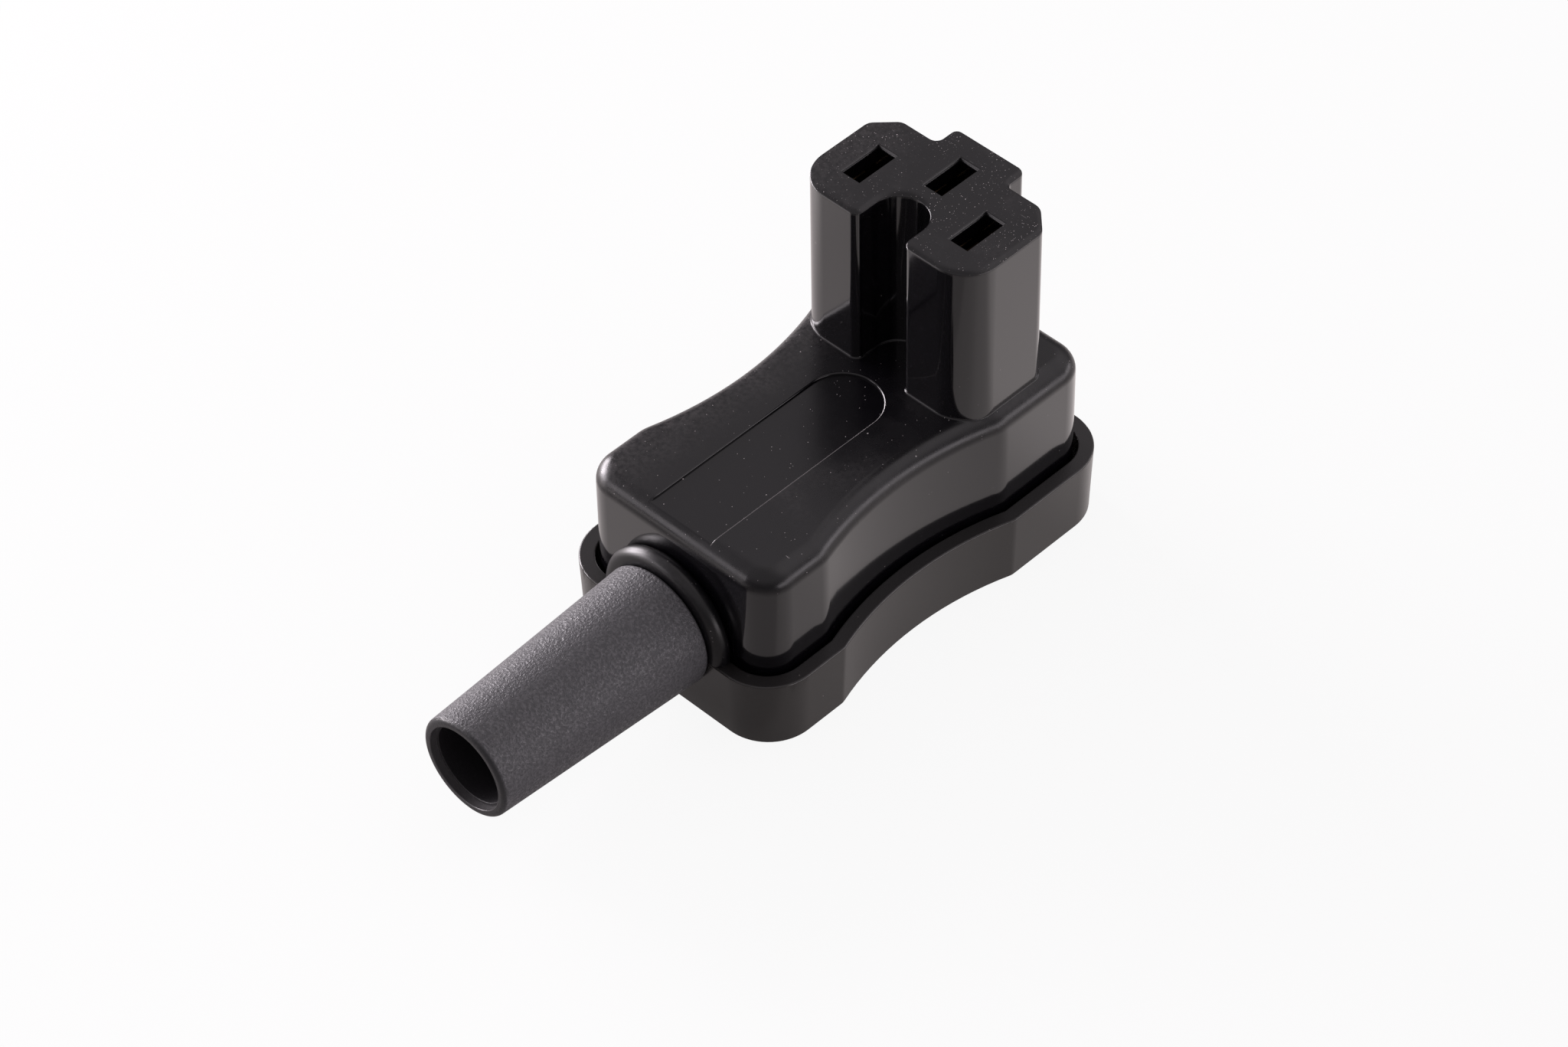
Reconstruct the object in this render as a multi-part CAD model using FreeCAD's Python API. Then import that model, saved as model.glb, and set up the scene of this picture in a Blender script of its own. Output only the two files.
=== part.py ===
import FreeCAD, Part

import math
import os

from FreeCAD import Vector

# Rewirable right-angle appliance connector, of the hot-condition pattern with a grooved nose.
# X runs across the connector, the cable leaves along -Y and the mating nose points along +Z.
# The origin is on the underside, below the middle of the line and neutral slots.
# All sizes are in millimetres.

# Mating face: the places of the poles are the coupler standard's
pole_pitch = 14.0
earth_offset = 4.0
slot_width = 2.5
slot_length = 5.3
slot_lead_in = 0.08
face_wall = 2.2

# Nose: walls around the contact chambers, and the shapes of its corners
nose_length = 19.3
nose_side_wall = 2.1
nose_front_wall = 2.9
nose_back_wall = 3.7
nose_front_radius = 4.0
nose_chamfer = 2.4
nose_chamfer_radius = 1.4
nose_face_radius = 0.55
nose_base_radius = 0.2
tab_side_wall = 2.2
tab_back_wall = 2.5
tab_radius = 0.8
groove_width = 6.0
groove_end_wall = 1.2
groove_mouth_radius = 0.9

# Contacts: folded strips that stand in the chambers
strip_thickness = 0.6
leaf_depth = 4.6
leaf_foot_gap = 2.9
leaf_pinch_gap = 1.7
leaf_mouth_gap = 2.7
leaf_mouth_length = 3.0
leaf_face_clearance = 2.0
chamber_side_clearance = 0.25
chamber_end_clearance = 0.45

# Terminals, which seat on the roof around the chambers
seat_ledge = 0.4
terminal_height = 6.5
wire_hole_radius = 1.6
wire_hole_drop = 2.9
stake_radius = 0.8
terminal_screw_edge = 2.7
terminal_screw_backed_out = 1.2
terminal_screw_bite = 0.6
barrier_clearance = 0.3
barrier_drop = 2.0
support_thickness = 1.2
support_side_inset = 0.2
support_head_clearance = 0.6

# Case: walls, the gap between the tray and the housing, and the plan's waist
tray_height = 8.0
tray_wall = 1.65
tray_floor = 2.0
tray_draft = 0.3
tray_kink_radius = 1.8
tray_inner_kink_radius = 1.0
rim_radius = 0.2
nest_gap = 0.45
housing_wall = 2.0
housing_roof = 2.2
housing_kink_radius = 4.5
cavity_kink_radius = 3.0
top_radius = 2.2
case_corner_radius = 5.6
smallest_corner = 0.4
largest_fillet_share = 0.9
terminal_side_clearance = 1.05
terminal_rear_clearance = 1.2
waist_depth = 1.8
waist_radius = 37.1
waist_end = 2.3
front_shoulder = 10.5
panel_width = 8.1
panel_nose_gap = 1.1
panel_depth = 0.25

# Bend relief sleeve and the collar around its root
bore_radius = 4.3
neck_wall = 1.2
neck_clearance = 0.1
flange_lip = 1.0
flange_thickness = 1.8
flange_floor_clearance = 0.25
sleeve_length = 25.8
sleeve_root_lip = 1.06
sleeve_root_edge = 0.4
sleeve_tip_wall = 1.2
sleeve_lip_radius = 0.55
bore_lip_radius = 0.25
collar_width = 2.4
collar_headroom = 3.55

# Screws
screw_radius = 1.5
screw_clearance = 0.2
screw_slot_width = 0.8
head_clearance = 0.3
terminal_head_radius = 2.3
terminal_head_height = 2.0
clamp_head_radius = 2.4
clamp_head_height = 1.3
clamp_screw_length = 9.0
cover_head_radius = 2.75
cover_head_height = 1.9
cover_head_recess = 0.5
pilot_extra_depth = 1.0

# Cord clamp, and the pillars that its screws and the cover screw go into
clamp_width = 5.0
clamp_end = 2.4
clamp_end_clearance = 0.65
clamp_flange_gap = 0.9
clamp_floor_gap = 0.25
boss_wall = 0.8
boss_cable_gap = 0.8
grip_height = 0.4
grip_width = 0.8
grip_spacing = 2.6
saddle_thickness = 1.2
saddle_clearance = 0.05
cover_seat_thickness = 2.6
cover_pillar_wall = 1.15
cover_boss_wall = 0.9
cover_screw_end = 1.0
insert_radius = 2.1
insert_length = 6.0

# Contact chambers, terminals and the nose around them
chamber_width = leaf_foot_gap + 2 * (strip_thickness + chamber_side_clearance)
chamber_length = slot_length + 2 * chamber_end_clearance
terminal_width = chamber_width + 2 * seat_ledge
terminal_length = terminal_screw_edge + terminal_head_radius + support_head_clearance + support_thickness
barrier_thickness = pole_pitch / 2 - terminal_width - 2 * barrier_clearance
nose_width = pole_pitch + chamber_width + 2 * nose_side_wall
nose_front = -chamber_length / 2 - nose_front_wall
nose_back = chamber_length / 2 + nose_back_wall
tab_width = chamber_width + 2 * tab_side_wall
tab_back = earth_offset + chamber_length / 2 + tab_back_wall
groove_bottom = earth_offset - chamber_length / 2 - groove_end_wall

# Sleeve's radii, and the heights that follow from the cable's axis
neck_radius = bore_radius + neck_wall
neck_hole_radius = neck_radius + neck_clearance
flange_radius = neck_hole_radius + flange_lip
sleeve_tip_radius = bore_radius + sleeve_tip_wall
sleeve_root_radius = neck_hole_radius + sleeve_root_lip
collar_radius = neck_hole_radius + collar_width
cable_axis_height = tray_floor + flange_floor_clearance + flange_radius
housing_top = cable_axis_height + collar_radius + collar_headroom
roof_underside = housing_top - housing_roof
face_height = housing_top + nose_length
terminal_top = roof_underside - strip_thickness
terminal_bottom = terminal_top - terminal_height
wire_hole_height = terminal_top - wire_hole_drop
clamp_bottom = tray_floor + clamp_floor_gap
clamp_top = cable_axis_height - bore_radius
clamp_head_seat = clamp_bottom + clamp_head_height
cover_head_seat = cover_head_recess + cover_head_height
cover_pillar_top = cover_head_seat + cover_seat_thickness

# Plan of the case: wide enough for the terminals at one end and for the clamp at the other
case_inset = tray_wall + nest_gap
cavity_inset = case_inset + housing_wall
clamp_boss_radius = screw_radius + boss_wall
clamp_screw_spacing = 2 * (bore_radius + boss_cable_gap + clamp_boss_radius)
clamp_length = clamp_screw_spacing + 2 * clamp_end
front_half = clamp_length / 2 + clamp_end_clearance + cavity_inset
rear_half = pole_pitch / 2 + terminal_width / 2 + terminal_side_clearance + cavity_inset
waist_half = min(front_half, rear_half) - waist_depth
waist_centre_x = waist_half + waist_radius


def waist_reach(half, inset=0.0, kink_radius=0.0):
    """Distance along Y from the waist's narrowest point to the centre of the kink beside it."""
    across = waist_centre_x - half + inset + kink_radius
    return math.sqrt((waist_radius + inset + kink_radius) ** 2 - across ** 2)


case_rear = earth_offset + terminal_length / 2 + terminal_rear_clearance + cavity_inset
waist_y = -waist_end - waist_reach(rear_half)
case_front = waist_y - waist_reach(front_half) - front_shoulder
housing_front = case_front + case_inset
cavity_front = case_front + cavity_inset
cavity_rear = case_rear - cavity_inset
clamp_y = cavity_front + flange_thickness + clamp_flange_gap + clamp_width / 2

pole_places = {
    "live": (-pole_pitch / 2, 0.0),
    "neutral": (pole_pitch / 2, 0.0),
    "earth": (0.0, earth_offset),
}
clamp_screw_places = [(-clamp_screw_spacing / 2, clamp_y), (clamp_screw_spacing / 2, clamp_y)]
along_cable = Vector(0, 1, 0)
upwards = Vector(0, 0, 1)


# Basic shapes
def block(x_low, x_high, y_low, y_high, z_low, z_high):
    return Part.makeBox(x_high - x_low, y_high - y_low, z_high - z_low, Vector(x_low, y_low, z_low))


def centred_block(x, y, width, length, z_low, z_high):
    return block(x - width / 2, x + width / 2, y - length / 2, y + length / 2, z_low, z_high)


def pillar(x, y, radius, z_low, z_high):
    return Part.makeCylinder(radius, z_high - z_low, Vector(x, y, z_low))


def cable_cylinder(radius, y_low, y_high):
    return Part.makeCylinder(radius, y_high - y_low, Vector(0, y_low, cable_axis_height), along_cable)


def cable_revolve(profile):
    return Part.Face(profile).revolve(Vector(0, 0, cable_axis_height), along_cable, 360)


def prism(wire, height):
    return Part.Face(wire).extrude(upwards * height)


def edges_at_height(shape, z):
    return [
        edge for edge in shape.Edges
        if abs(edge.BoundBox.ZMin - z) < 1e-4 and abs(edge.BoundBox.ZMax - z) < 1e-4
    ]


def ring_edges(shape, radius, y):
    """Circular edges about the cable's axis that have the given radius and place."""
    circles = [edge for edge in shape.Edges if isinstance(edge.Curve, Part.Circle)]
    return [
        edge for edge in circles
        if abs(edge.Curve.Radius - radius) < 1e-4 and abs(edge.Curve.Center.y - y) < 1e-4
    ]


# Outlines
def rounded_outline(corners, z):
    """Closed wire through (x, y, radius) corners, each rounded by a tangent arc."""
    arcs = []
    for i, (x, y, radius) in enumerate(corners):
        corner = Vector(x, y, z)
        next_x, next_y, _ = corners[(i + 1) % len(corners)]
        back = (Vector(corners[i - 1][0], corners[i - 1][1], z) - corner).normalize()
        ahead = (Vector(next_x, next_y, z) - corner).normalize()
        half_angle = back.getAngle(ahead) / 2
        tangent = radius / math.tan(half_angle)
        inwards = (back + ahead).normalize()
        middle = corner + inwards * (radius / math.sin(half_angle) - radius)
        arcs.append((corner + back * tangent, middle, corner + ahead * tangent))
    edges = []
    for i, (start, middle, end) in enumerate(arcs):
        edges.append(Part.Arc(start, middle, end).toShape())
        next_start = arcs[(i + 1) % len(arcs)][0]
        if end.distanceToPoint(next_start) > 1e-6:
            edges.append(Part.LineSegment(end, next_start).toShape())
    return Part.Wire(edges)


def waisted_outline(inset, kink_radius, z):
    """Closed plan outline of the case, moved inwards by inset.

    Straight sides run into the hollow waist through a small round kink at each end of it.
    """
    right = waisted_side(inset, kink_radius, z, 1)
    left = waisted_side(inset, kink_radius, z, -1)
    ends = [
        Part.LineSegment(left[i].toShape().Vertexes[j].Point, right[i].toShape().Vertexes[j].Point)
        for i, j in ((0, 0), (-1, -1))
    ]
    return Part.Wire(Part.__sortEdges__([curve.toShape() for curve in right + left + ends]))


def waisted_side(inset, kink_radius, z, side):
    """Curves of one side of the case's outline, from its front corner to its rear corner."""
    front, rear = front_half - inset, rear_half - inset
    corner = max(case_corner_radius - inset, smallest_corner)
    bulge = corner * (1 - math.sqrt(0.5))

    def at(x, y):
        return Vector(side * x, y, z)

    def kink(half, direction):
        """Start on the straight side, middle and end on the waist of one kink's arc."""
        centre_x = half - kink_radius
        centre_y = waist_y + direction * waist_reach(half + inset, inset, kink_radius)
        turn = math.atan2(abs(centre_y - waist_y), waist_centre_x - centre_x)
        return [
            at(centre_x + kink_radius * math.cos(angle),
               centre_y - direction * kink_radius * math.sin(angle))
            for angle in (0, turn / 2, turn)
        ]

    front_kink, rear_kink = kink(front, -1), kink(rear, 1)
    y_front, y_rear = case_front + inset, case_rear - inset
    front_corner = [at(front - corner, y_front), at(front - bulge, y_front + bulge),
                    at(front, y_front + corner)]
    rear_corner = [at(rear, y_rear - corner), at(rear - bulge, y_rear - bulge),
                   at(rear - corner, y_rear)]
    return [
        Part.Arc(*front_corner),
        Part.LineSegment(front_corner[-1], front_kink[0]),
        Part.Arc(*front_kink),
        Part.Arc(front_kink[-1], at(waist_half - inset, waist_y), rear_kink[-1]),
        Part.Arc(*reversed(rear_kink)),
        Part.LineSegment(rear_kink[0], rear_corner[0]),
        Part.Arc(*rear_corner),
    ]


def nose_outline(z):
    """Outline of the nose: a groove in front, chamfered back corners and a tab on the earth side."""
    half, tab_half, groove_half = nose_width / 2, tab_width / 2, groove_width / 2
    right = [
        (groove_half, groove_bottom, groove_half),
        (groove_half, nose_front, groove_mouth_radius),
        (half, nose_front, nose_front_radius),
        (half, nose_back - nose_chamfer, nose_chamfer_radius),
        (half - nose_chamfer, nose_back, nose_chamfer_radius),
        (tab_half, nose_back, tab_radius),
        (tab_half, tab_back, tab_radius),
    ]
    left = [(-x, y, radius) for x, y, radius in reversed(right)]
    return rounded_outline(right + left, z)


# Tray that closes the case from below, with the lower half of the cable entry in its front wall
def base_tray():
    outside = Part.makeLoft([
        waisted_outline(tray_draft, tray_kink_radius, 0),
        waisted_outline(0, tray_kink_radius, tray_height),
    ], True, True)
    inner_outline = waisted_outline(tray_wall, tray_inner_kink_radius, tray_floor)
    inside = prism(inner_outline, tray_height - tray_floor)
    tray = outside.cut(inside)
    tray = tray.makeFillet(rim_radius, edges_at_height(tray, tray_height))
    pillar_radius = cover_head_radius + head_clearance + cover_pillar_wall
    additions = [pillar(0, waist_y, pillar_radius, tray_floor, cover_pillar_top)]
    additions += [terminal_support(x, y) for x, y in pole_places.values()]
    cuts = [
        cable_cylinder(neck_hole_radius, case_front - tray_wall, housing_front),
        pillar(0, waist_y, cover_head_radius + head_clearance, 0, cover_head_seat),
        pillar(0, waist_y, screw_radius + screw_clearance, 0, cover_pillar_top),
    ]
    return tray.fuse(additions).cut(cuts).removeSplitter()


def terminal_support(x, y):
    """Upright rib that holds a terminal against the housing's roof."""
    half = terminal_width / 2 - support_side_inset
    back = y + terminal_length / 2
    return block(x - half, x + half, back - support_thickness, back, tray_floor, terminal_bottom)


# Upper housing: one moulding with the nose, the contact chambers and the screw bosses
def upper_housing():
    additions = [housing_nose(), collar_arch(), cover_boss()]
    additions += clamp_saddles() + terminal_barriers()
    for x, y in clamp_screw_places:
        additions.append(pillar(x, y, clamp_boss_radius, clamp_top, roof_underside))
    clamp_pilot_end = clamp_head_seat + clamp_screw_length + pilot_extra_depth
    cuts = [panel_recess(), cover_boss_bore()]
    cuts += [cable_cylinder(neck_hole_radius, case_front - tray_wall, cavity_front)]
    cuts += [pillar(x, y, screw_radius, clamp_top, clamp_pilot_end) for x, y in clamp_screw_places]
    for x, y in pole_places.values():
        cuts += [contact_chamber(x, y), pole_slot(x, y), slot_mouth(x, y)]
    housing = housing_shell().fuse(additions).cut(cuts).removeSplitter()
    return housing.makeFillet(nose_base_radius, nose_base_edges(housing))


def housing_shell():
    body = prism(waisted_outline(case_inset, housing_kink_radius, tray_floor), housing_top - tray_floor)
    tightest = min(case_corner_radius - case_inset, housing_kink_radius)
    fillet = min(top_radius, largest_fillet_share * tightest)
    body = body.makeFillet(fillet, edges_at_height(body, housing_top))
    cavity = waisted_outline(cavity_inset, cavity_kink_radius, tray_floor)
    return body.cut(prism(cavity, roof_underside - tray_floor))


def housing_nose():
    nose = prism(nose_outline(roof_underside), face_height - roof_underside)
    return nose.makeFillet(nose_face_radius, edges_at_height(nose, face_height))


def nose_base_edges(housing):
    """Edges where the nose's walls stand on the body's top."""
    def is_nose_wall(face):
        return face.BoundBox.ZMax > face_height - face_wall / 2

    low_edges = [edge for edge in housing.Edges if edge.BoundBox.ZMax < housing_top + nose_base_radius]
    return [edge for edge in low_edges
            if sum(map(is_nose_wall, housing.ancestorsOfType(edge, Part.Face))) == 1]


def collar_arch():
    """Half-round bead over the cable entry, which stands on the tray's rim."""
    bead = case_inset / 2
    crest = collar_radius - bead
    inside = housing_front + housing_wall / 2

    def at(radius, y):
        return Vector(radius, y, cable_axis_height)

    ring = cable_revolve(Part.Wire([
        Part.makePolygon([at(crest, housing_front), at(crest, inside), at(neck_hole_radius, inside),
                          at(neck_hole_radius, case_front), at(crest, case_front)]),
        Part.Arc(at(crest, case_front), at(collar_radius, case_front + bead),
                 at(crest, housing_front)).toShape(),
    ]))
    below_rim = block(-collar_radius - bead, collar_radius + bead, case_front - bead, inside + bead,
                      0, tray_height)
    return ring.cut(below_rim)


def cover_boss():
    return pillar(0, waist_y, insert_radius + cover_boss_wall, cover_pillar_top, roof_underside)


def cover_boss_bore():
    """Seat of the threaded insert, with room above it for the screw's end."""
    insert_top = cover_pillar_top + insert_length
    bore_end = insert_top + cover_screw_end + pilot_extra_depth
    seat = pillar(0, waist_y, insert_radius, cover_pillar_top, insert_top)
    return seat.fuse(pillar(0, waist_y, screw_radius, insert_top, bore_end))


def clamp_saddles():
    """Cross ribs between the clamp's bosses, hollowed to the cable."""
    cable = cable_cylinder(bore_radius + saddle_clearance, cavity_front, waist_y)
    ribs = []
    for y in (clamp_y - grip_spacing / 2, clamp_y + grip_spacing / 2):
        rib = centred_block(0, y, clamp_screw_spacing, saddle_thickness,
                            cable_axis_height, roof_underside)
        ribs.append(rib.cut(cable))
    return ribs


def terminal_barriers():
    """Insulating walls between the earth terminal and its neighbours."""
    return [
        block(x - barrier_thickness / 2, x + barrier_thickness / 2, -terminal_length / 2, cavity_rear,
              terminal_bottom - barrier_drop, roof_underside)
        for x in (-pole_pitch / 4, pole_pitch / 4)
    ]


def panel_recess():
    """Shallow field on the top, round towards the nose, which runs out over the front edge."""
    half, end = panel_width / 2, nose_front - panel_nose_gap
    corners = [
        (half, housing_front, smallest_corner),
        (half, end, half),
        (-half, end, half),
        (-half, housing_front, smallest_corner),
    ]
    return prism(rounded_outline(corners, housing_top - panel_depth), panel_depth)


def contact_chamber(x, y):
    return centred_block(x, y, chamber_width, chamber_length, roof_underside, face_height - face_wall)


def pole_slot(x, y):
    return centred_block(x, y, slot_width, slot_length, face_height - face_wall, face_height)


def slot_mouth(x, y):
    """Bevelled edge where a pin enters a slot."""
    rectangles = []
    for spread, z in ((0, face_height - slot_lead_in), (slot_lead_in, face_height)):
        dx, dy = slot_width / 2 + spread, slot_length / 2 + spread
        corners = [(-dx, -dy), (dx, -dy), (dx, dy), (-dx, dy), (-dx, -dy)]
        rectangles.append(Part.makePolygon([Vector(x + cx, y + cy, z) for cx, cy in corners]))
    return Part.makeLoft(rectangles, True, True)


# Bend relief sleeve: tapered outside the case, with a neck in the entry and a flange inside
def bend_relief_sleeve():
    tip = case_front - sleeve_length
    flange_back = cavity_front + flange_thickness
    profile = [
        (bore_radius, tip),
        (sleeve_tip_radius, tip),
        (sleeve_root_radius, case_front),
        (neck_radius, case_front),
        (neck_radius, cavity_front),
        (flange_radius, cavity_front),
        (flange_radius, flange_back),
        (bore_radius, flange_back),
    ]
    points = [Vector(radius, y, cable_axis_height) for radius, y in profile]
    sleeve = cable_revolve(Part.makePolygon(points + points[:1]))
    lip_share = largest_fillet_share * sleeve_tip_wall / (sleeve_lip_radius + bore_lip_radius)
    lip_share = min(1.0, lip_share)
    sleeve = sleeve.makeFillet(lip_share * sleeve_lip_radius, ring_edges(sleeve, sleeve_tip_radius, tip))
    sleeve = sleeve.makeFillet(lip_share * bore_lip_radius, ring_edges(sleeve, bore_radius, tip))
    return sleeve.makeFillet(sleeve_root_edge, ring_edges(sleeve, sleeve_root_radius, case_front))


# Terminals and contacts: for each pole a brass pillar, with a bronze clip staked to its top
def terminal(x, y):
    body = centred_block(x, y, terminal_width, terminal_length, terminal_bottom, terminal_top)
    stake = pillar(x, y, stake_radius, terminal_top, roof_underside)
    front = y - terminal_length / 2
    wire_hole = Part.makeCylinder(wire_hole_radius, terminal_length,
                                  Vector(x, front, wire_hole_height), along_cable)
    screw_hole = pillar(x, front + terminal_screw_edge, screw_radius, terminal_bottom, wire_hole_height)
    return body.fuse(stake).cut([wire_hole, screw_hole])


def contact_clip(x, y):
    foot = centred_block(x, y, terminal_width, terminal_length, terminal_top, roof_underside)
    leaves = [contact_leaf(x, y, side) for side in (-1, 1)]
    stake_hole = pillar(x, y, stake_radius, terminal_top, roof_underside)
    return foot.fuse(leaves).cut(stake_hole).removeSplitter()


def contact_leaf(x, y, side):
    """Spring leaf that leans in to the pinch line and flares where the pin enters."""
    top = face_height - face_wall - leaf_face_clearance
    inner_line = [
        (leaf_foot_gap / 2, terminal_top),
        (leaf_foot_gap / 2, roof_underside),
        (leaf_pinch_gap / 2, top - leaf_mouth_length),
        (leaf_mouth_gap / 2, top),
    ]
    outer_line = [(out + strip_thickness, z) for out, z in reversed(inner_line)]
    points = [Vector(x + side * out, y - leaf_depth / 2, z) for out, z in inner_line + outer_line]
    return Part.Face(Part.makePolygon(points + points[:1])).extrude(along_cable * leaf_depth)


# Screws: each has its slotted head below and its shank upwards
def slotted_screw(x, y, head_radius, head_height, head_bottom, shank_length):
    head_top = head_bottom + head_height
    head = pillar(x, y, head_radius, head_bottom, head_top)
    shank = pillar(x, y, screw_radius, head_top, head_top + shank_length)
    slot = centred_block(x, y, 2 * head_radius, screw_slot_width,
                         head_bottom, head_bottom + head_height / 2)
    return head.fuse(shank).cut(slot)


def terminal_screws():
    head_bottom = terminal_bottom - terminal_screw_backed_out - terminal_head_height
    wire_hole_bottom = wire_hole_height - wire_hole_radius
    length = terminal_screw_backed_out + wire_hole_bottom - terminal_bottom + terminal_screw_bite
    return Part.makeCompound([
        slotted_screw(x, y - terminal_length / 2 + terminal_screw_edge, terminal_head_radius,
                      terminal_head_height, head_bottom, length)
        for x, y in pole_places.values()
    ])


def cord_clamp_screws():
    return Part.makeCompound([
        slotted_screw(x, y, clamp_head_radius, clamp_head_height, clamp_bottom, clamp_screw_length)
        for x, y in clamp_screw_places
    ])


def cover_screw():
    length = cover_seat_thickness + insert_length + cover_screw_end
    return slotted_screw(0, waist_y, cover_head_radius, cover_head_height, cover_head_recess, length)


def cover_screw_insert():
    top = cover_pillar_top + insert_length
    return pillar(0, waist_y, insert_radius, cover_pillar_top, top).cut(
        pillar(0, waist_y, screw_radius, cover_pillar_top, top))


# Cord clamp: a bar with grip ridges, drawn up to its bosses by two sunk screws
def cord_clamp():
    half, end_radius = clamp_length / 2, clamp_width / 2
    low, high = clamp_y - end_radius, clamp_y + end_radius
    corners = [(x, y, end_radius) for x, y in ((half, low), (half, high), (-half, high), (-half, low))]
    bar = prism(rounded_outline(corners, clamp_bottom), clamp_top - clamp_bottom)
    ridges = [grip_ridge(clamp_y - grip_spacing / 2), grip_ridge(clamp_y + grip_spacing / 2)]
    cuts = []
    for x, y in clamp_screw_places:
        cuts.append(pillar(x, y, screw_radius + screw_clearance, clamp_bottom, clamp_top))
        cuts.append(pillar(x, y, clamp_head_radius + head_clearance, clamp_bottom, clamp_head_seat))
    return bar.fuse(ridges).cut(cuts).removeSplitter()


def grip_ridge(y):
    half = bore_radius
    foot = grip_width / 2
    corners = [(y - foot, clamp_top), (y + foot, clamp_top), (y, clamp_top + grip_height)]
    points = [Vector(-half, corner_y, z) for corner_y, z in corners]
    return Part.Face(Part.makePolygon(points + points[:1])).extrude(Vector(2 * half, 0, 0))


nodes = {
    "upper_housing": upper_housing(),
    "base_tray": base_tray(),
    "bend_relief_sleeve": bend_relief_sleeve(),
    "terminal_screws": terminal_screws(),
    "cord_clamp": cord_clamp(),
    "cord_clamp_screws": cord_clamp_screws(),
    "cover_screw": cover_screw(),
    "cover_screw_insert": cover_screw_insert(),
}
for pole, (pole_x, pole_y) in pole_places.items():
    nodes[f"{pole}_terminal"] = terminal(pole_x, pole_y)
    nodes[f"{pole}_contact"] = contact_clip(pole_x, pole_y)

os.makedirs("parts", exist_ok=True)
for name, shape in nodes.items():
    shape.exportStep(f"parts/{name}.step")
    print(name, "valid" if shape.isValid() else "not valid", len(shape.Solids), round(shape.Volume, 1))
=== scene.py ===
import math

import bmesh
import bpy
from mathutils import Matrix, Vector


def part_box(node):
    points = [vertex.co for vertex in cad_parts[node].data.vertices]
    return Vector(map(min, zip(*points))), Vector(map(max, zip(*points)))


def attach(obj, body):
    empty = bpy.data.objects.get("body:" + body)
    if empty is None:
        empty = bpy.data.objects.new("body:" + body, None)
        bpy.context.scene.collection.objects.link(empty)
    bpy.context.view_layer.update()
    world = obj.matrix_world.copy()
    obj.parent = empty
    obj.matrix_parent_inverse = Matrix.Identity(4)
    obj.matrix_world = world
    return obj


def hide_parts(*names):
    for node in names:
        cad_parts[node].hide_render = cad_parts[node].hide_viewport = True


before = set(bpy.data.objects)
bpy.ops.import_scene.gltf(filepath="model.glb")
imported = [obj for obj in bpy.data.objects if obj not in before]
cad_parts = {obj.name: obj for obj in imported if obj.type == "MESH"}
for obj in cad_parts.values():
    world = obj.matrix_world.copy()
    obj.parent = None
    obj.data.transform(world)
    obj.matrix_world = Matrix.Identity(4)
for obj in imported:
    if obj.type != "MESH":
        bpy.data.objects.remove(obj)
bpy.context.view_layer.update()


# Upper housing: the black thermoset moulding with the mating nose, the waisted body and the collar.
# It is pressed in a polished tool, so its walls mirror the table. Only the mating face and the top
# have a fine spark-eroded grain, on which pale dust stays. The top is also painted paler towards its
# left as painted light, and a thin painted highlight runs along the field's right edge.
class Finish:
    """A socket in a finish's node tree. Sums on values become Math nodes."""

    def __init__(self, socket):
        self.socket = socket

    def node(self, kind, settings, sockets, output=0):
        """Any other node: its settings are set first, then the values or links of its sockets."""
        made = self.socket.id_data.nodes.new(kind)
        for name, value in settings.items():
            setattr(made, name, value)
        for name, value in sockets.items():
            feed(made.inputs[name], value)
        return Finish(made.outputs[output])

    def sum_of(self, operation, first, second):
        return self.node("ShaderNodeMath", {"operation": operation}, {0: first, 1: second})

    def __add__(self, other):
        return self.sum_of("ADD", self, other)

    def __radd__(self, other):
        return self.sum_of("ADD", other, self)

    def __sub__(self, other):
        return self.sum_of("SUBTRACT", self, other)

    def __rsub__(self, other):
        return self.sum_of("SUBTRACT", other, self)

    def __mul__(self, other):
        return self.sum_of("MULTIPLY", self, other)

    def __rmul__(self, other):
        return self.sum_of("MULTIPLY", other, self)

    def __abs__(self):
        return self.sum_of("ABSOLUTE", self, 0.0)

    def at_least(self, other):
        return self.sum_of("MAXIMUM", self, other)


def feed(socket, value):
    """Links a finish's value to a socket, or writes a plain value on it."""
    if isinstance(value, Finish):
        socket.id_data.links.new(value.socket, socket)
    else:
        socket.default_value = value


def start_finish(name, constants):
    """A material with constants on its shader, the shader's sockets, and the places in millimetres."""
    material = bpy.data.materials.new(name)
    material.use_nodes = True
    nodes = material.node_tree.nodes
    shader = nodes["Principled BSDF"]
    for socket, value in constants.items():
        shader.inputs[socket].default_value = value
    metres = Finish(nodes.new("ShaderNodeTexCoord").outputs["Object"])
    place = metres.node("ShaderNodeVectorMath", {"operation": "SCALE"}, {0: metres, "Scale": 1000.0})
    return material, shader.inputs, place


def ramp(value, low, high):
    """0 below low, 1 above high and a smooth step between."""
    return value.node("ShaderNodeMapRange", {"interpolation_type": "SMOOTHSTEP"},
                      {"Value": value, "From Min": low, "From Max": high})


def part_of(vector, axis):
    return vector.node("ShaderNodeSeparateXYZ", {}, {0: vector}, axis)


def upward(place):
    """The share of the surface's direction that points up."""
    return part_of(place.node("ShaderNodeTexCoord", {}, {}, "Normal"), 2)


def cloud(place, per_mm, detail=2.0, roughness=0.5):
    """Even noise about 0.5, with a given number of bumps in a millimetre."""
    return place.node("ShaderNodeTexNoise", {}, {
        "Vector": place, "Scale": per_mm, "Detail": detail, "Roughness": roughness})


def specks(place, per_mm, radius, share):
    """Round grains: one in a share of the cells of a given pitch."""
    cells = place.node("ShaderNodeTexVoronoi", {}, {"Vector": place, "Scale": per_mm})
    chosen = place.node("ShaderNodeTexVoronoi", {}, {"Vector": place, "Scale": per_mm}, 1)
    size = part_of(chosen, 0) * radius * per_mm
    grain = 1 - ramp(cells - size, 0.0, 0.25 * radius * per_mm)
    return grain * ramp(part_of(chosen, 1), 1 - share, 1.001 - share)


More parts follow.
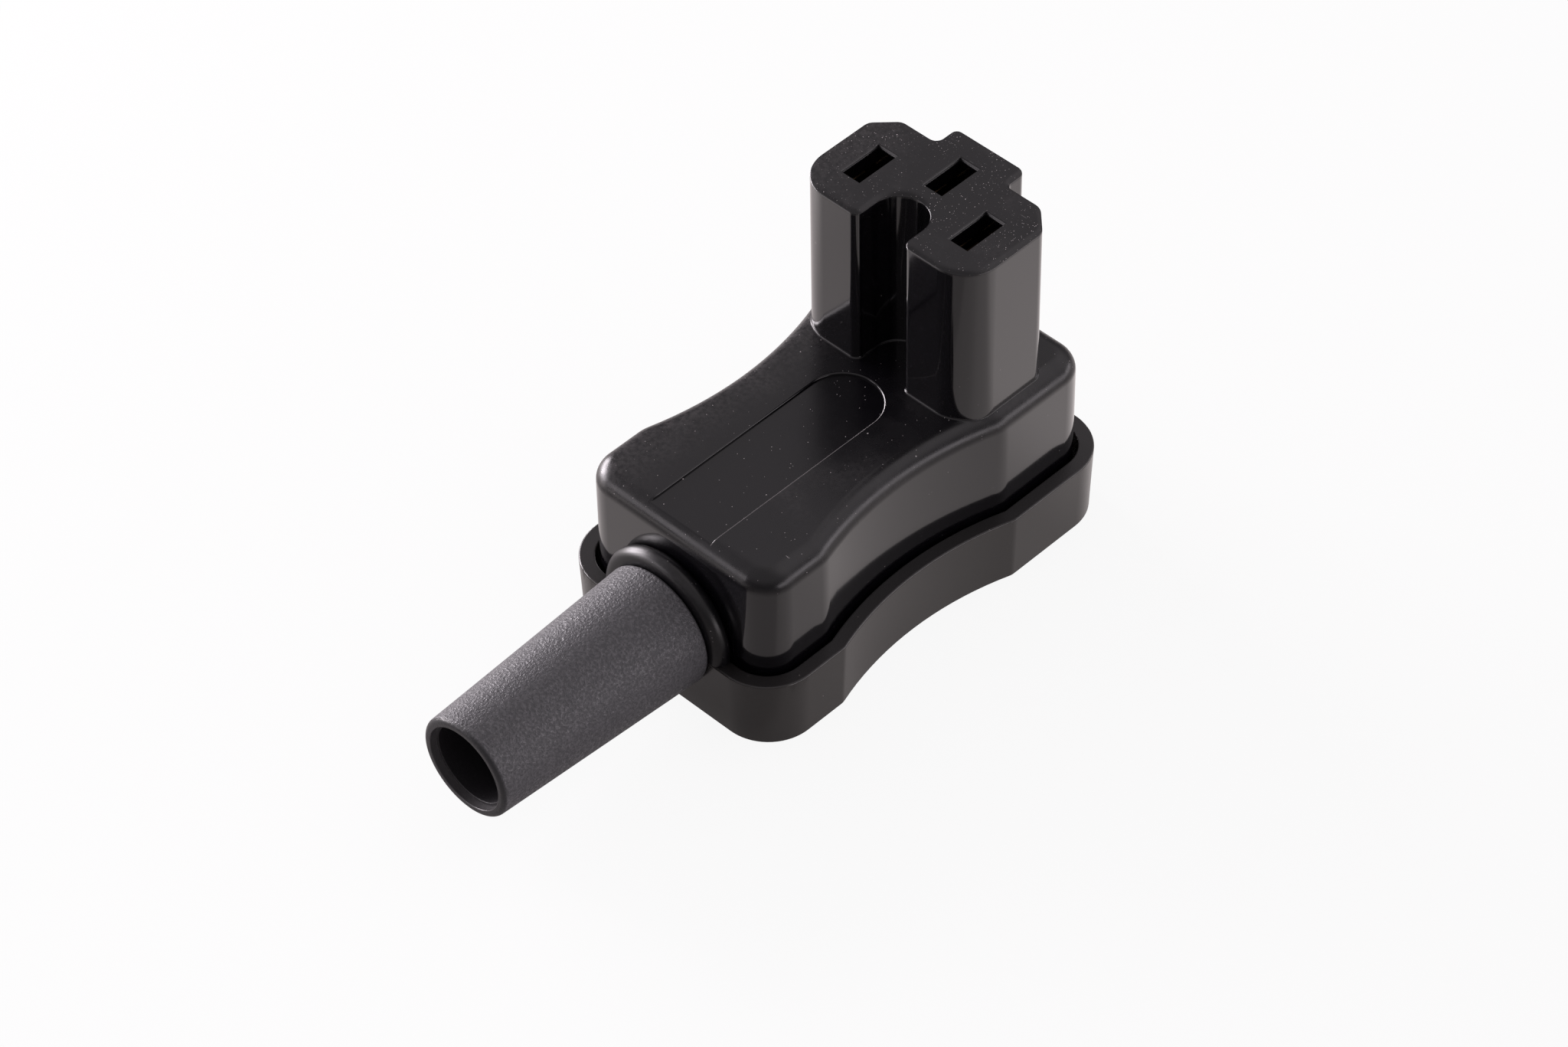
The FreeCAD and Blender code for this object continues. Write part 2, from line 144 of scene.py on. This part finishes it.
def mixed(first, second, share):
    return share.node("ShaderNodeMix", {"data_type": "RGBA"}, {0: share, 6: first, 7: second}, 2)


def bumped(height, distance):
    """Bends the normal by a height of 0 to 1, which is a given distance in millimetres."""
    return height.node("ShaderNodeBump", {}, {
        "Height": height, "Distance": distance / 1000, "Strength": 1.0})


def finished(name, rough_mesh, material, sharp_angle=42.0, eased_edge=0.0, lip_edge=0.0, on_lip=None):
    """A piece from a mesh: its triangles are merged into faces and its edges are eased, a lip's more.

    An edge is eased only where the faces beside it are wide enough, in widths of the eased edge."""
    same_place, same_plane = 1e-6, math.radians(0.2)
    width_beside_edge, width_beside_lip = 2.5, 1.2
    mesh = bpy.data.meshes.new(name)
    body = bmesh.new()
    body.from_mesh(rough_mesh)
    bmesh.ops.remove_doubles(body, verts=body.verts, dist=same_place)
    bmesh.ops.dissolve_limit(body, angle_limit=same_plane, verts=body.verts, edges=body.edges)
    for face in body.faces:
        face.smooth = True
    eased = body.edges.layers.float.new("bevel_weight_edge")
    widest = max(eased_edge, lip_edge)
    for edge in body.edges:
        edge.smooth = edge.calc_face_angle(0.0) < math.radians(sharp_angle)
        is_lip = on_lip and all(on_lip(corner.co * 1000) for corner in edge.verts)
        ease, least = (lip_edge, width_beside_lip) if is_lip else (eased_edge, width_beside_edge)
        smallest = min((face.calc_area() for face in edge.link_faces), default=0.0)
        beside = smallest / edge.calc_length() * 1000
        if ease and edge.is_convex and not edge.smooth and beside > least * ease:
            edge[eased] = ease / widest
    body.to_mesh(mesh)
    body.free()
    if mesh.attributes.get("custom_normal"):
        mesh.attributes.remove(mesh.attributes["custom_normal"])
    mesh.materials.clear()
    mesh.materials.append(material)
    piece = bpy.data.objects.new(name, mesh)
    bpy.context.scene.collection.objects.link(piece)
    if widest:
        bevel = piece.modifiers.new("eased edges", "BEVEL")
        bevel.width, bevel.segments = widest / 1000, 2
        bevel.limit_method, bevel.use_clamp_overlap = "WEIGHT", False
        bevel.miter_outer = "MITER_ARC"
    weighted = piece.modifiers.new("flat faces stay flat", "WEIGHTED_NORMAL")
    weighted.keep_sharp = True
    return piece


housing_black = (0.0021, 0.0018, 0.0029, 1.0)
housing_dust_and_painted_light = (0.62, 0.58, 0.58, 1.0)
nose_top = 1000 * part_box("upper_housing")[1].z
body_top, body_front = 20.4, -34.65
field_radius, field_middle = 4.12, -11.15
housing_finish, housing_shader, place = start_finish(
    "polished black housing", {"IOR": 1.5, "Coat Roughness": 0.07, "Coat IOR": 1.55})
facing_up = ramp(upward(place), 0.03, 0.35)
across, along, height = [part_of(place, axis) for axis in range(3)]
mating_face = ramp(height, nose_top - 1.1, nose_top - 0.3) * facing_up
rolled_edge = ramp(height, nose_top - 0.8, nose_top - 0.2)
collar = 1 - ramp(along, body_front - 0.15, body_front + 0.15)
satin = facing_up.at_least(collar).at_least(rolled_edge)

# The field is a strip with a round end. It is measured outward from its outline.
past_middle = (along - field_middle).at_least(0.0)
from_field = place.node("ShaderNodeCombineXYZ", {}, {"X": across, "Y": past_middle, "Z": 0.0})
from_field = place.node("ShaderNodeVectorMath", {"operation": "LENGTH"}, {0: from_field}, 1) - field_radius
on_top = ramp(height, body_top - 0.4, body_top - 0.3) * (1 - ramp(height, body_top + 0.05, body_top + 0.2))
field_edge = (1 - ramp(abs(from_field), 0.1, 0.2)) * on_top
in_field = (1 - ramp(from_field, -0.3, 0.0)) * on_top
# A thin painted highlight along the field's right edge, where its rounded lip would catch the left lamps.
painted_field_edge_highlight = (1 - ramp(abs(from_field), 0.03, 0.1)) * on_top * ramp(across, 2.0, 3.5)
grained = satin * (1 - 0.6 * mating_face) * (1 - 0.5 * collar)
grained = grained * (1 - 0.8 * field_edge) * (1 - 0.4 * in_field)
grain = cloud(place, 7.0, 3.0, 0.6)
smudges = cloud(place, 0.4, 3.0, 0.55) - 0.5
settled = mating_face * (0.1 + 0.9 * ramp(cloud(place, 0.22), 0.4, 0.65))
points = 0.7 * specks(place, 5.0, 0.045, 0.5) * settled + 0.5 * specks(place, 2.4, 0.045, 0.35)
# A faint pale film of dust in clouds, with painted light: the top is painted paler towards its left side.
dust_film_and_painted_light = 0.02 * ramp(cloud(place, 0.13, 3.0, 0.6), 0.46, 0.7) + 0.05 * ramp(across, -4.0, -12.0)
dust_film_and_painted_light = dust_film_and_painted_light * ramp(cloud(place, 2.0, 3.0, 0.7), 0.3, 0.7) * (1 - in_field)
lint = specks(place.node("ShaderNodeMapping", {}, {
    "Vector": place, "Rotation": (0.3, 0.5, 0.9), "Scale": (0.12, 1.0, 1.0)}), 1.1, 0.05, 0.3)
# Pale dust, lint and a dust film, together with the painted light on the top's left and the painted
# highlight on the field's edge.
dust = ((points + dust_film_and_painted_light + 0.7 * specks(place, 0.8, 0.08, 0.2)) * (0.12 + 0.88 * facing_up)
        + 0.3 * lint * (1 - 0.7 * mating_face) + 0.15 * painted_field_edge_highlight)
feed(housing_shader["Base Color"], mixed(housing_black, housing_dust_and_painted_light, dust))
feed(housing_shader["Roughness"], 0.1 + 0.03 * cloud(place, 0.25) + 0.03 * satin + 0.12 * collar
     + grained * (0.09 + 0.07 * grain + 0.2 * smudges) + 0.3 * dust)
feed(housing_shader["Coat Weight"], (1 - satin) * (1 - dust))
edge_roll = ramp(height, nose_top - 0.9, nose_top + 0.7) * ramp(height, nose_top - 0.9, nose_top - 0.2)
feed(housing_shader["Normal"], bumped(
    0.006 * grained * grain + 0.0003 * cloud(place, 0.8) - 0.7 * edge_roll, 1.0))


def on_field_lip(corner):
    """Whether a corner lies on the body's top, on the field's round end or in front of it."""
    field_side, field_end = field_radius - 0.02, field_middle + field_radius + 0.03
    return abs(corner.z - body_top) < 0.05 and abs(corner.x) < field_side and corner.y < field_end


housing = finished("housing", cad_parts["upper_housing"].data, housing_finish, eased_edge=0.07,
                   lip_edge=0.12, on_lip=on_field_lip)
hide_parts("upper_housing")
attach(housing, "root")


# Contacts: three clips folded from rolled bronze strip, pushed into the nose's chambers.
# The rolling leaves fine lines along the strip, and handling a slightly brown tarnish.
bronze = (0.70, 0.47, 0.27, 1.0)
bronze_tarnish = (0.42, 0.25, 0.14, 1.0)
contact_finish, contact_shader, place = start_finish("rolled bronze", {"Metallic": 1.0})
lines = place.node("ShaderNodeMapping", {}, {"Vector": place, "Scale": (9.0, 9.0, 0.4)})
rolled = cloud(lines, 1.0, 3.0, 0.6)
tarnish = ramp(cloud(place, 0.5, 3.0), 0.45, 0.75)
feed(contact_shader["Base Color"], mixed(bronze, bronze_tarnish, tarnish))
feed(contact_shader["Roughness"], 0.2 + 0.18 * rolled + 0.15 * tarnish)
feed(contact_shader["Normal"], bumped(rolled, 0.006))
for pole in ("live", "neutral", "earth"):
    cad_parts[pole + "_contact"].material_slots[0].material = contact_finish


# Terminals: three brass pillars sawn from drawn bar, drilled for the wire and for its screw.
# They hang under the roof, and the contacts' feet are staked to them.
brass = (0.72, 0.55, 0.27, 1.0)
brass_dull = (0.50, 0.36, 0.16, 1.0)
brass_finish, brass_shader, place = start_finish("milled brass", {"Metallic": 1.0})
lines = place.node("ShaderNodeMapping", {}, {"Vector": place, "Scale": (1.0, 1.0, 14.0)})
milled = cloud(lines, 0.9, 2.0, 0.6)
dull = ramp(cloud(place, 0.6, 3.0), 0.45, 0.8)
feed(brass_shader["Base Color"], mixed(brass, brass_dull, dull))
feed(brass_shader["Roughness"], 0.22 + 0.15 * milled + 0.12 * dull)
feed(brass_shader["Normal"], bumped(milled, 0.008))
for pole in ("live", "neutral", "earth"):
    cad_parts[pole + "_terminal"].material_slots[0].material = brass_finish


# Threaded insert: a brass bush turned from bar, which the cover screw goes into.
# A diamond knurl is rolled on its outside and holds it in the housing's middle boss.
insert_low, insert_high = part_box("cover_screw_insert")
insert_axis = 500 * (insert_low + insert_high)
knurl_teeth, knurl_slant = 22, 5.2
knurl_finish, knurl_shader, place = start_finish("knurled brass", {"Metallic": 1.0})
across, along = part_of(place, 0) - insert_axis.x, part_of(place, 1) - insert_axis.y
turn = across.sum_of("ARCTAN2", across, along) * knurl_teeth
climb = part_of(place, 2) * knurl_slant
left_ridge = abs(turn.sum_of("SINE", 0.5 * (turn + climb), 0.0))
right_ridge = abs(turn.sum_of("SINE", 0.5 * (turn - climb), 0.0))
outside = 1 - ramp(abs(upward(place)), 0.3, 0.6)
knurl = left_ridge * right_ridge * outside
feed(knurl_shader["Base Color"], mixed(brass_dull, brass, ramp(knurl, 0.1, 0.7)))
feed(knurl_shader["Roughness"], 0.36 - 0.14 * knurl)
feed(knurl_shader["Normal"], bumped(knurl, 0.12))
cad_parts["cover_screw_insert"].material_slots[0].material = knurl_finish


# Clamp bar: a short bar moulded from black plastic, with blunt ridges that bite into the cable's sheath.
# Two screws draw it up to the bosses beside the cable. Its skin is matte from a blasted tool.
clamp_black = (0.020, 0.020, 0.020, 1.0)
clamp_scuff = (0.055, 0.055, 0.053, 1.0)
clamp_finish, clamp_shader, place = start_finish("blasted black clamp", {"IOR": 1.5})
grain = cloud(place, 6.0, 3.0, 0.6)
scuffs = ramp(cloud(place, 0.9, 4.0, 0.7), 0.55, 0.75)
pale = 0.4 * ramp(grain, 0.4, 0.8) + 0.5 * scuffs
feed(clamp_shader["Base Color"], mixed(clamp_black, clamp_scuff, pale))
feed(clamp_shader["Roughness"], 0.42 + 0.2 * grain - 0.1 * scuffs)
feed(clamp_shader["Normal"], bumped(grain, 0.02))

clamp = finished("clamp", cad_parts["cord_clamp"].data, clamp_finish, eased_edge=0.12)
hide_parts("cord_clamp")
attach(clamp, "root")


# Screws: turned from steel and zinc-plated, with a slotted cheese head below and a rolled thread above.
# Three press on the wires in the terminals, two draw the clamp up, and one holds the tray to the insert.
steel = (0.62, 0.62, 0.60, 1.0)
steel_worn = (0.45, 0.44, 0.41, 1.0)
steel_finish, steel_shader, place = start_finish("zinc-plated steel", {"Metallic": 1.0})
patches = ramp(cloud(place, 0.7, 4.0, 0.6), 0.4, 0.75)
plating = cloud(place, 9.0, 2.0)
feed(steel_shader["Base Color"], mixed(steel, steel_worn, patches))
feed(steel_shader["Roughness"], 0.2 + 0.14 * plating + 0.14 * patches)
feed(steel_shader["Normal"], bumped(plating, 0.004))

screw_rows, screw_sides = 170, 32
screw_tree = bpy.data.node_groups.new("slotted screws", "GeometryNodeTree")
screw_tree.interface.new_socket("Screws", in_out="OUTPUT", socket_type="NodeSocketGeometry")
screw_tree.interface.new_socket("Places", in_out="INPUT", socket_type="NodeSocketGeometry")
size_names = ("Head Radius", "Head Height", "Shank Radius", "Shank Length", "Thread Pitch", "Slot Width")
for size_name in size_names:
    screw_tree.interface.new_socket(size_name, in_out="INPUT", socket_type="NodeSocketFloat")
screw_inputs = screw_tree.nodes.new("NodeGroupInput").outputs
places = Finish(screw_inputs["Places"])
head_radius, head_height, shank_radius, shank_length, pitch, slot_width = [
    Finish(screw_inputs[size_name]) for size_name in size_names]

# A sheet of rows and columns is rolled up: its rows run from the head's middle to the shank's tip.
sheet = places.node("GeometryNodeMeshGrid", {}, {
    "Size X": 1.0, "Size Y": 1.0, "Vertices X": screw_sides + 1, "Vertices Y": screw_rows + 1})
on_sheet = places.node("GeometryNodeInputPosition", {}, {})
turn = part_of(on_sheet, 0) + 0.5
row = (part_of(on_sheet, 1) + 0.5) * screw_rows


def by_row(first, last):
    return row.node("ShaderNodeMapRange", {}, {"Value": row, "From Min": first, "From Max": last})


head_ease = 0.12 * head_height
tip_taper = 0.4 * shank_radius
level = (head_ease * by_row(1, 2) + (head_height - head_ease) * by_row(2, 3)
         + (shank_length - tip_taper) * by_row(4, screw_rows - 2)
         + tip_taper * by_row(screw_rows - 2, screw_rows - 1))
turns_up = row.sum_of("DIVIDE", level, pitch) - turn
thread_side = abs(2 * row.sum_of("FRACT", turns_up, 0.0) - 1)
thread = 0.5 * pitch * (1 - thread_side) * by_row(4, 8) * (1 - by_row(screw_rows - 4, screw_rows - 2))
out = ((head_radius - head_ease) * by_row(0, 1) + head_ease * by_row(1, 2)
       - (head_radius - shank_radius) * by_row(3, 4) - thread
       - tip_taper * by_row(screw_rows - 2, screw_rows - 1)
       - (shank_radius - tip_taper) * by_row(screw_rows - 1, screw_rows))
rolled_up = row.node("ShaderNodeCombineXYZ", {}, {
    "X": out * row.sum_of("COSINE", turn * math.tau, 0.0),
    "Y": out * row.sum_of("SINE", turn * math.tau, 0.0), "Z": level})
blank = sheet.node("GeometryNodeSetPosition", {}, {"Geometry": sheet, "Position": rolled_up})
blank = blank.node("GeometryNodeMergeByDistance", {}, {"Geometry": blank, "Distance": 1e-4})
blade = row.node("ShaderNodeCombineXYZ", {}, {"X": 2.4 * head_radius, "Y": slot_width, "Z": head_height})
blade = blade.node("GeometryNodeMeshCube", {}, {"Size": blade})
screw = blank.node("GeometryNodeMeshBoolean", {"operation": "DIFFERENCE"}, {
    "Mesh 1": blank, "Mesh 2": blade})
any_turn = places.node("FunctionNodeRandomValue", {"data_type": "FLOAT_VECTOR"}, {
    0: (0.0, 0.0, 0.0), 1: (0.0, 0.0, math.pi), "Seed": 4})
screws = places.node("GeometryNodeInstanceOnPoints", {}, {
    "Points": places, "Instance": screw, "Rotation": any_turn, "Scale": (0.001, 0.001, 0.001)})
screws = screws.node("GeometryNodeRealizeInstances", {}, {"Geometry": screws})
screws = screws.node("GeometryNodeSetMaterial", {}, {"Geometry": screws, "Material": steel_finish})
feed(screw_tree.nodes.new("NodeGroupOutput").inputs[0], screws)

pole_side, pole_back, earth_back = 7.0, -0.7, 3.3
clamp_side, clamp_back, cover_back = 7.4, -27.221, -14.605
screw_sets = {
    "terminal_screws": (((-pole_side, pole_back), (0.0, earth_back), (pole_side, pole_back)), {
        "Head Radius": 2.3, "Head Height": 2.0, "Shank Length": 3.8, "Thread Pitch": 0.5}),
    "cord_clamp_screws": (((-clamp_side, clamp_back), (clamp_side, clamp_back)), {
        "Head Radius": 2.4, "Head Height": 1.3, "Shank Length": 9.0, "Thread Pitch": 1.1}),
    "cover_screw": (((0.0, cover_back),), {
        "Head Radius": 2.75, "Head Height": 1.9, "Shank Length": 9.6, "Thread Pitch": 0.5})}
for node, (screw_places, sizes) in screw_sets.items():
    sizes.update({"Shank Radius": 1.5, "Slot Width": 0.8})
    head_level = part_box(node)[0].z
    place_mesh = bpy.data.meshes.new("screw places")
    place_mesh.from_pydata([(x / 1000, y / 1000, head_level) for x, y in screw_places], [], [])
    blanks = bpy.data.objects.new("screw blanks", place_mesh)
    bpy.context.scene.collection.objects.link(blanks)
    turning = blanks.modifiers.new("slotted screws", "NODES")
    turning.node_group = screw_tree
    for socket in screw_tree.interface.items_tree:
        if socket.name in sizes:
            turning[socket.identifier] = sizes[socket.name]
    made = bpy.data.meshes.new_from_object(blanks.evaluated_get(bpy.context.evaluated_depsgraph_get()))
    bpy.data.objects.remove(blanks)
    screws = finished(node.replace("_", "-"), made, steel_finish)
    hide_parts(node)
    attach(screws, "root")


# Bend relief sleeve: a moulded rubber tube, tapered, that is pushed out through the collar from inside.
# Its skin is matte with a fine grain that sparkles under the lamp. The lip at its tip is rounded, and
# the mouth there is a shallow step wider than the bore behind it. The bore is painted near-black and
# the lip painted darker, both as painted shade.
rubber = (0.057, 0.0565, 0.0610, 1.0)
rubber_pale = (0.165, 0.160, 0.172, 1.0)
rubber_dust = (0.40, 0.39, 0.40, 1.0)
# Painted shade colours: near-black for the bore and dark grey for the tip's lip.
rubber_bore_painted_shade = (0.010, 0.009, 0.011, 1.0)
rubber_lip_painted_shade = (0.020, 0.020, 0.022, 1.0)
rubber_mouth = (0.060, 0.058, 0.060, 1.0)
sleeve_tip = 1000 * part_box("bend_relief_sleeve")[0].y
bore_height, bore_radius = 8.85, 4.3
mouth_radius, mouth_depth, mouth_sides = 4.62, 0.8, 96
sleeve_finish, sleeve_shader, place = start_finish("grained rubber", {"IOR": 1.5})
grain = cloud(place, 3.4, 2.0, 0.6)
flecks = specks(place, 2.2, 0.06, 0.3)
from_axis = place.node("ShaderNodeVectorMath", {"operation": "MULTIPLY"}, {0: place, 1: (1.0, 0.0, 1.0)})
from_axis = place.node("ShaderNodeVectorMath", {"operation": "DISTANCE"}, {
    0: from_axis, 1: (0.0, 0.0, bore_height)}, 1)
from_tip = part_of(place, 1) - sleeve_tip
dust = specks(place, 0.3, 0.1, 0.3)
tone = mixed(rubber, rubber_pale, ramp(grain, 0.35, 0.8) * 0.5 + flecks * 0.5)
mouth = 1 - ramp(from_axis, mouth_radius + 0.01, mouth_radius + 0.1)
# Painted shade: the bore behind the mouth is painted near-black.
bore_painted_shade = (1 - ramp(from_axis, bore_radius + 0.06, bore_radius + 0.3)) * ramp(from_tip, 0.67, 0.82)
# The lip's mask makes the tip's rim smoother, and it paints the rim darker as painted shade.
lip = 1 - ramp(from_tip, 0.17, 0.47)
smooth = lip.at_least(mouth)
tone = mixed(mixed(tone, rubber_dust, dust), rubber_lip_painted_shade, lip)
feed(sleeve_shader["Base Color"], mixed(mixed(tone, rubber_mouth, mouth), rubber_bore_painted_shade, bore_painted_shade))
feed(sleeve_shader["Roughness"], 0.55 - (0.36 * ramp(grain, 0.48, 0.68) + 0.15 * flecks) * (1 - smooth)
     - 0.22 * lip)
feed(sleeve_shader["Normal"], bumped(grain * (1 - 0.8 * smooth), 0.15))

# A round plug, half of which stands out of the tip, cuts the mouth.
tip_middle = Vector((0.0, sleeve_tip / 1000, bore_height / 1000))
plug_body = bmesh.new()
bmesh.ops.create_cone(
    plug_body, cap_ends=True, segments=mouth_sides, radius1=mouth_radius / 1000,
    radius2=mouth_radius / 1000, depth=2 * mouth_depth / 1000,
    matrix=Matrix.Translation(tip_middle) @ Matrix.Rotation(math.pi / 2, 4, "X"))
plug_mesh = bpy.data.meshes.new("mouth plug")
plug_body.to_mesh(plug_mesh)
plug_body.free()
plug = bpy.data.objects.new("mouth plug", plug_mesh)
blank = bpy.data.objects.new("sleeve blank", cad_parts["bend_relief_sleeve"].data)
bpy.context.scene.collection.objects.link(plug)
bpy.context.scene.collection.objects.link(blank)
blank.modifiers.new("one skin", "WELD").merge_threshold = 1e-6
cutting = blank.modifiers.new("mouth", "BOOLEAN")
cutting.operation, cutting.object = "DIFFERENCE", plug
stepped = bpy.data.meshes.new_from_object(blank.evaluated_get(bpy.context.evaluated_depsgraph_get()))
bpy.data.objects.remove(plug)
bpy.data.objects.remove(blank)

sleeve = finished("sleeve", stepped, sleeve_finish, eased_edge=0.07)
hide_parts("bend_relief_sleeve")
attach(sleeve, "root")


# Base tray: a second black moulding that closes the case from below, satin and slightly brown.
# Its rim is cut flat and stays dull, and its sides mirror the table softly.
tray_black = (0.014, 0.0125, 0.0115, 1.0)
tray_rim_black = (0.010, 0.009, 0.009, 1.0)
tray_dust = (0.30, 0.28, 0.26, 1.0)
tray_finish, tray_shader, place = start_finish(
    "satin black tray", {"IOR": 1.5, "Coat Roughness": 0.15})
facing_up = ramp(upward(place), 0.7, 0.95)
grain = cloud(place, 6.0, 3.0, 0.6)
dust = specks(place, 0.45, 0.08, 0.3) + 0.7 * specks(place, 1.8, 0.05, 0.15) * facing_up
tone = mixed(tray_black, tray_rim_black, facing_up)
feed(tray_shader["Base Color"], mixed(tone, tray_dust, dust))
feed(tray_shader["Roughness"], 0.22 + 0.06 * grain + 0.12 * facing_up)
feed(tray_shader["Coat Weight"], 0.4 * (1 - facing_up))
feed(tray_shader["Normal"], bumped(grain * (0.2 + facing_up), 0.01))

tray = finished("tray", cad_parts["base_tray"].data, tray_finish, eased_edge=0.07)
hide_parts("base_tray")
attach(tray, "root")


# Table: a sheet of white board that the connector stands on, 0.02 mm below the tray's underside.
# It stays white for the camera and keeps the soft shadow. What the polished walls mirror is painted light
# and shade: painted greyer on the right, where it lies away from the lamps, and brightest on the far left,
# under them.
table_half, table_level = 3.0, -0.00002
table_corners = [(x * table_half, y * table_half, table_level)
                 for x, y in ((-1, -1), (1, -1), (1, 1), (-1, 1))]
floor_mesh = bpy.data.meshes.new("table")
floor_mesh.from_pydata(table_corners, [], [(0, 1, 2, 3)])
table = bpy.data.objects.new("table", floor_mesh)
bpy.context.scene.collection.objects.link(table)
board_white = (0.85, 0.85, 0.85, 1.0)
board_mirrored = (0.4, 0.37, 0.37, 1.0)
board_lit = (1.03, 0.96, 0.95)
table_finish, table_shader, place = start_finish(
    "white table", {"Roughness": 0.9, "Specular IOR Level": 0.0})
tree = table_finish.node_tree
light_path = tree.nodes.new("ShaderNodeLightPath")
seen = Finish(light_path.outputs["Is Camera Ray"])
mirrored = Finish(light_path.outputs["Is Glossy Ray"]) + Finish(light_path.outputs["Is Transmission Ray"])
floor_x, floor_y = part_of(place, 0), part_of(place, 1)
# Painted light and shade on the mirrored table: painted pools of light behind, on the left and under the
# lamps, and painted shade in front of the connector and far out.
lit_along = 0.1 * ramp(floor_y, -40.0, -10.0) + 0.1 * ramp(floor_y, -20.0, -8.0)
lit_behind = 0.35 * ramp(floor_y, 4.0, 18.0)
lit_left = 0.2 * ramp(floor_x, -4.0, -18.0) * (1 - ramp(floor_y, -26.0, -8.0))
dim_front = 0.13 * ramp(floor_y, -34.5, -38.0) * ramp(floor_x, -2.0, 3.0)
far_out = place.node("ShaderNodeVectorMath", {"operation": "LENGTH"}, {0: place}, 1)
dim_far = 0.7 * ramp(far_out, 60.0, 150.0) * (1 - ramp(floor_x, 10.0, 40.0))
under_lamps = 2.4 * ramp(floor_x, -30.0, -110.0) * ramp(floor_y, 5.0, -25.0)
lit = (0.42 + lit_along + lit_behind + lit_left - dim_front) * (1 - dim_far) + under_lamps
painted_table_light = place.node("ShaderNodeVectorMath", {"operation": "SCALE"}, {0: board_lit, "Scale": lit})
feed(table_shader["Base Color"], mixed(board_white, board_mirrored, mirrored))
glow_tone = mixed(mixed((0.0, 0.0, 0.0, 1.0), (1.0, 1.0, 1.0, 1.0), seen), painted_table_light, mirrored)
glow = seen.node("ShaderNodeEmission", {}, {"Color": glow_tone})
both = seen.node("ShaderNodeMixShader", {}, {
    0: 0.9 * seen + 0.6 * mirrored, 1: Finish(tree.nodes["Principled BSDF"].outputs[0]), 2: glow})
feed(tree.nodes["Material Output"].inputs["Surface"], both)
table.data.materials.append(table_finish)


# Studio: a dim pale room with a brighter window high on the right and behind.
# Two soft boxes stand low on the left and one long, weak one low on the right. A small, weak one in
# front lights the rounded front edge.
room_tone, lamp_tone = (1.0, 0.93, 0.97, 1.0), (1.0, 0.93, 0.98)
window_way, back_way = (0.27, 0.69, 0.67), (-0.5, 0.5, 0.707)
lamp_aim, lamp_distance = Vector((0.0, -0.02, 0.015)), 0.6
world = bpy.data.worlds.new("studio")
bpy.context.scene.world = world
world.use_nodes = True
nodes = world.node_tree.nodes
sky = Finish(nodes.new("ShaderNodeTexCoord").outputs["Generated"])
sky_height = part_of(sky, 2)
to_window = sky.node("ShaderNodeVectorMath", {"operation": "DOT_PRODUCT"}, {0: sky, 1: window_way}, 1)
to_back = sky.node("ShaderNodeVectorMath", {"operation": "DOT_PRODUCT"}, {0: sky, 1: back_way}, 1)
room_light = (0.2 + 0.3 * ramp(sky_height, 0.25, 0.75) + 0.5 * ramp(to_window, 0.7, 0.96)
              + 0.12 * ramp(to_back, 0.85, 0.98))
camera_ray = Finish(nodes.new("ShaderNodeLightPath").outputs["Is Camera Ray"])
feed(nodes["Background"].inputs["Strength"], camera_ray + (1 - camera_ray) * room_light)
feed(nodes["Background"].inputs["Color"], mixed(room_tone, (1.0, 1.0, 1.0, 1.0), camera_ray))


def soft_lamp(name, azimuth, elevation, wide, high, radiance):
    """A soft box that shines from a direction in degrees. Its sizes are in metres."""
    data = bpy.data.lights.new(name, "AREA")
    data.shape, data.size, data.size_y = "RECTANGLE", wide, high
    data.energy = radiance * math.pi * wide * high
    data.color = lamp_tone
    lamp = bpy.data.objects.new(name, data)
    bpy.context.scene.collection.objects.link(lamp)
    azimuth, elevation = math.radians(azimuth), math.radians(elevation)
    away = Vector((math.cos(azimuth) * math.cos(elevation), math.sin(azimuth) * math.cos(elevation),
                   math.sin(elevation)))
    lamp.location = lamp_aim + away * lamp_distance
    lamp.rotation_euler = away.to_track_quat("Z", "Y").to_euler()
    lamp.visible_camera = False


soft_lamp("left lamp", 182.0, 12.0, 0.36, 0.28, 13.5)
soft_lamp("front left lamp", 203.0, 10.0, 0.32, 0.23, 8.0)
soft_lamp("right lamp", 30.0, 8.0, 1.1, 0.17, 2.5)
soft_lamp("front lamp", 236.0, 18.0, 0.20, 0.22, 2.4)


# Camera: a long lens that looks down on the connector from its front right corner.
# Its place and its slight roll were fitted to the slots, whose spacing is known.
azimuth, elevation, roll = math.radians(44.933), math.radians(45.4995), math.radians(-1.0771)
shift_right, shift_up, distance = -0.013677, -0.003199, 0.514877
back = Vector((math.sin(azimuth) * math.cos(elevation), -math.cos(azimuth) * math.cos(elevation),
               math.sin(elevation)))
right = Vector((math.cos(azimuth), math.sin(azimuth), 0.0))
up = back.cross(right)
right, up = (math.cos(roll) * right + math.sin(roll) * up, math.cos(roll) * up - math.sin(roll) * right)
camera_data = bpy.data.cameras.new("camera")
camera_data.lens, camera_data.sensor_width = 117.68, 36.0
camera_data.clip_start, camera_data.clip_end = 0.01, 20.0
camera = bpy.data.objects.new("camera", camera_data)
bpy.context.scene.collection.objects.link(camera)
camera_place = right * shift_right + up * shift_up + back * distance
camera.matrix_world = Matrix.Translation(camera_place) @ Matrix((right, up, back)).transposed().to_4x4()
bpy.context.scene.camera = camera
bpy.context.scene.view_settings.view_transform = "Standard"
